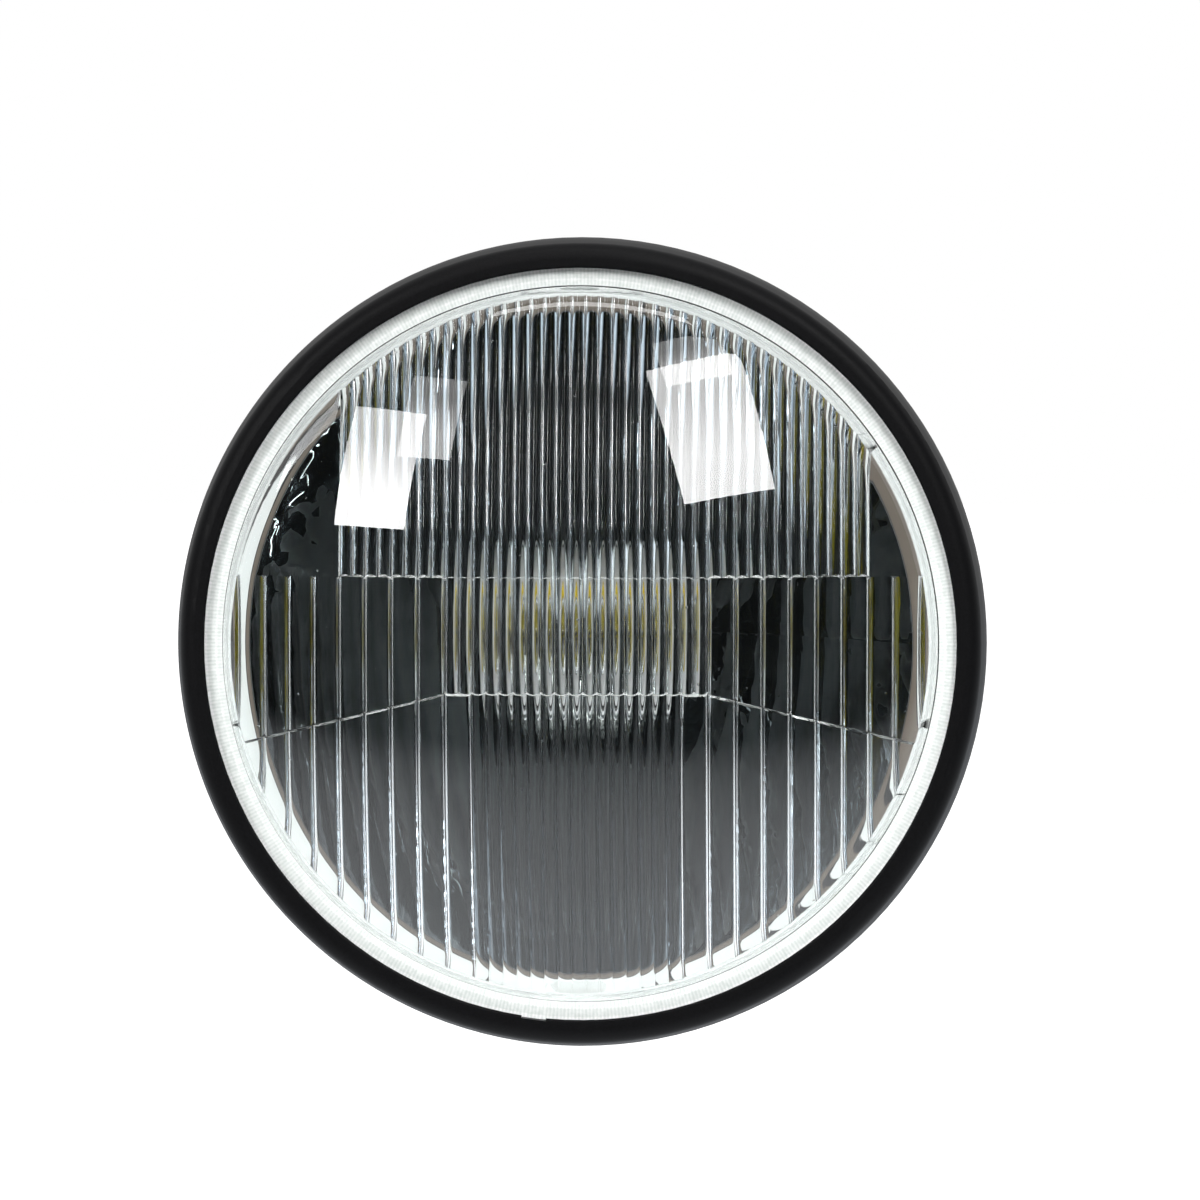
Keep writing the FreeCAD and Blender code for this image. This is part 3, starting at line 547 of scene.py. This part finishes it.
# Olive-yellow lamp cement at the bulb's foot
lamp_cement = grained("lamp_cement", "#A39630", "#B9AB3C", 0.8, 0.03, **{"Roughness": 0.5})
# Grey drawn metal inside the bulb, its grain drawn coarse because the mirror shows it many times larger
bulb_metal = grained("bulb_metal", "#4A4A4B", "#98999A", 6.0, 0.01, **{"Roughness": 0.35, "Metallic": 1.0})

material_of = {
    "rim": powder_coat, "shell": powder_coat, "lens_sealant": make_silicone(), "reflector": make_mirror(),
    "bulb_envelope": make_bulb_glass(), "bulb_stem": lamp_cement, "bulb_collar": make_collar_plate(),
    "bulb_base": moulded_base, "rim_gasket": rubber, "dust_boot": rubber, "loom_grommet": rubber,
    "bulb_shield": bulb_metal, "bulb_spring": spring_wire, "lens": pressed_glass,
    "side_boss_left": turned_steel, "side_boss_right": turned_steel,
}
family_of = {"bulb_terminal": brass, "bulb_lead": bulb_metal, "filament": bulb_metal,
             "retaining_clip": spring_wire}
for name, node in nodes.items():
    family = [material for start, material in family_of.items() if name.startswith(start)]
    node.data.materials.clear()
    node.data.materials.append(material_of.get(name, family[0] if family else zinc_plate))

lens = make_lens()
lens.data.materials.clear()
lens.data.materials.append(pressed_glass)
lens.data.materials.append(stippled_glass)
for face in lens.data.polygons:
    on_flange = face.normal.y < -0.9 and abs(face.center.y - flange_front * MM) < 1e-5
    face.material_index = 1 if on_flange else 0
# The soft boxes light what lies behind the clear glass
lens.visible_shadow = False
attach(lens, "root")
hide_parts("lens")

# Studio, with its floor and dark room in millimetres and its lamps in metres
white = linear("#FFFFFF")
cool_white = linear("#E6EEF7")
ambient_strength = 0.34
floor_half_width = 8000.0
floor_shift = 6000.0
floor_drop = 300.0
floor_glow = 0.85
# Depths between which the floor fades out towards the front, in metres
fade_start = -0.95
fade_end = -0.2
room_radius = 2000.0
room_angle = 82
stage_crease = 30
lamp_distance = 1.2
lamp_gap = 0.01
# Part of a soft box's height over which it fades
fade_foot = 0.3
fade_head = 0.75


def ray_share(tree, *kinds):
    """1 for rays of the given kinds, and 0 for all others."""
    path = add_node(tree, "ShaderNodeLightPath")
    share = path.outputs[kinds[0]]
    for kind in kinds[1:]:
        share = add_node(tree, "ShaderNodeMath", {"operation": "ADD", "use_clamp": True},
                         {0: share, 1: path.outputs[kind]})
    return share


def light_surroundings():
    """White for the camera, for mirrors and through glass, and a weaker even light on the lamp."""
    world = bpy.data.worlds.new("studio")
    scene.world = world
    world.use_nodes = True
    tree = world.node_tree
    tree.nodes.clear()
    ambient = add_node(tree, "ShaderNodeBackground", {"Color": white, "Strength": ambient_strength})
    backdrop = add_node(tree, "ShaderNodeBackground", {"Color": white, "Strength": 1.0})
    seen = ray_share(tree, "Is Camera Ray", "Is Glossy Ray", "Is Transmission Ray")
    mixed = add_node(tree, "ShaderNodeMixShader", None, {0: seen, 1: ambient, 2: backdrop})
    add_node(tree, "ShaderNodeOutputWorld", None, {"Surface": mixed})


def lay_floor():
    """Pale floor well below the hanging lamp; mirrors and glass see it fade out in front."""
    mesh = bmesh.new()
    bmesh.ops.create_grid(mesh, x_segments=1, y_segments=1, size=floor_half_width)
    bmesh.ops.translate(mesh, vec=(0, floor_shift, -floor_drop), verts=mesh.verts)
    material, tree, place = new_material("pale_floor")
    depth = add_node(tree, "ShaderNodeSeparateXYZ", None, {0: place}).outputs["Y"]
    fade = {"From Min": fade_start, "From Max": fade_end}
    near = add_node(tree, "ShaderNodeMapRange", fade, {"Value": depth})
    shade = add_node(tree, "ShaderNodeValToRGB", {"stops": ((0.0, "#181818"), (1.0, "#EFEFEF"))},
                     {"Fac": near})
    matt = add_node(tree, "ShaderNodeBsdfDiffuse", None, {"Color": shade})
    glow = add_node(tree, "ShaderNodeMapRange", {**fade, "To Max": floor_glow}, {"Value": depth})
    faded = add_node(tree, "ShaderNodeMath", {"operation": "MULTIPLY"},
                     {0: ray_share(tree, "Is Glossy Ray", "Is Transmission Ray"), 1: glow})
    mirrored = add_node(tree, "ShaderNodeEmission", {"Color": cool_white}, {"Strength": faded})
    direct = add_node(tree, "ShaderNodeEmission", {"Color": white},
                      {"Strength": ray_share(tree, "Is Camera Ray")})
    lift = add_node(tree, "ShaderNodeAddShader", None, {0: mirrored, 1: direct})
    both = add_node(tree, "ShaderNodeAddShader", None, {0: matt, 1: lift})
    add_node(tree, "ShaderNodeOutputMaterial", None, {"Surface": both})
    floor = in_metres(plain_object("floor", mesh), stage_crease)
    floor.data.materials.append(material)
    return floor


def hang_dark_room():
    """Black velvet cap on the camera's side, seen only by mirrors and glass."""
    mesh = bmesh.new()
    bmesh.ops.create_uvsphere(mesh, u_segments=48, v_segments=24, radius=room_radius)
    edge = -room_radius * math.cos(math.radians(room_angle))
    bmesh.ops.bisect_plane(mesh, geom=mesh.verts[:] + mesh.edges[:] + mesh.faces[:],
                           plane_co=(0, edge, 0), plane_no=(0, 1, 0), clear_outer=True)
    flag = in_metres(plain_object("dark_room", mesh), stage_crease)
    material, tree, _ = new_material("black_velvet")
    finish_material(material, tree, {"Base Color": linear("#0A0A0A"), "Roughness": 0.9}, {})
    flag.data.materials.append(material)
    flag.visible_camera = False
    flag.visible_diffuse = False
    flag.visible_shadow = False
    return flag


def direction(azimuth, elevation):
    """Way from the lamp's middle to a place in front, given in degrees to the right and upwards."""
    a = math.radians(azimuth)
    e = math.radians(elevation)
    return Vector((math.sin(a) * math.cos(e), -math.cos(a) * math.cos(e), math.sin(e)))


def hang_lamp(name, distance, radiance, azimuth, elevation, wide, high, tilt, top_share):
    """Rectangular lamp whose width, height and tilt are in degrees; it fades to a share at its top."""
    way = direction(azimuth, elevation)
    data = bpy.data.lights.new(name, "AREA")
    data.shape = "RECTANGLE"
    data.size = 2 * distance * math.tan(math.radians(wide / 2))
    data.size_y = 2 * distance * math.tan(math.radians(high / 2))
    data.energy = radiance * math.pi * data.size * data.size_y
    data.use_nodes = True
    tree = data.node_tree
    tree.nodes.clear()
    place = add_node(tree, "ShaderNodeNewGeometry").outputs["Parametric"]
    height = add_node(tree, "ShaderNodeSeparateXYZ", None, {0: place}).outputs["Y"]
    fade = add_node(tree, "ShaderNodeMapRange", {"From Min": fade_foot, "From Max": fade_head,
                                                 "To Min": 1.0, "To Max": top_share}, {"Value": height})
    glow = add_node(tree, "ShaderNodeEmission", {"Color": white}, {"Strength": fade})
    add_node(tree, "ShaderNodeOutputLight", None, {"Surface": glow})
    box = bpy.data.objects.new(name, data)
    box.location = way * distance
    box.rotation_mode = "QUATERNION"
    box.rotation_quaternion = way.to_track_quat("Z", "Y") @ Quaternion((0, 0, 1), math.radians(tilt))
    scene.collection.objects.link(box)
    return box


def softbox(name, radiance, glass_share, **place):
    """Two lamps, one just behind the other; only the back one shows through glass."""
    front = hang_lamp(name, lamp_distance, radiance * (1 - glass_share), **place)
    front.visible_transmission = False
    hang_lamp(name + "_back", lamp_distance + lamp_gap, radiance * glass_share, **place)


light_surroundings()
floor = lay_floor()
flag = hang_dark_room()
softbox("key_left", 25, 0.35, azimuth=-34.7, elevation=23.0, wide=11, high=17, tilt=0, top_share=0.45)
softbox("key_right", 20, 0.1, azimuth=20.2, elevation=30.3, wide=14, high=21, tilt=8, top_share=0.65)
softbox("panel_left", 9, 0.95, azimuth=-27.5, elevation=31.0, wide=8, high=12, tilt=0, top_share=0.4)
softbox("panel_right", 8.5, 0.95, azimuth=18.7, elevation=41.0, wide=10, high=7, tilt=8, top_share=0.4)
softbox("top_strip", 7, 0.05, azimuth=0, elevation=66, wide=32, high=14, tilt=0, top_share=1.0)

# Camera, with its place in metres and degrees and the picture's middle moved by pixels
view_distance = 1.1
frame_width = 0.245
sensor_width = 36.0
pixel = frame_width / 1200
right_pixels = 18
up_pixels = 42
rim_centre = Vector((0, rim_middle * MM, 0))
back = direction(2.4, 2.8)
level = (-back).to_track_quat("-Z", "Y")
aim = rim_centre + level @ Vector((right_pixels * pixel, up_pixels * pixel, 0))
camera_data = bpy.data.cameras.new("camera")
camera_data.sensor_width = sensor_width
camera_data.lens = sensor_width * view_distance / frame_width
camera = bpy.data.objects.new("camera", camera_data)
camera.location = rim_centre + back * view_distance
camera.rotation_mode = "QUATERNION"
camera.rotation_quaternion = (aim - camera.location).to_track_quat("-Z", "Y")
scene.collection.objects.link(camera)
scene.camera = camera
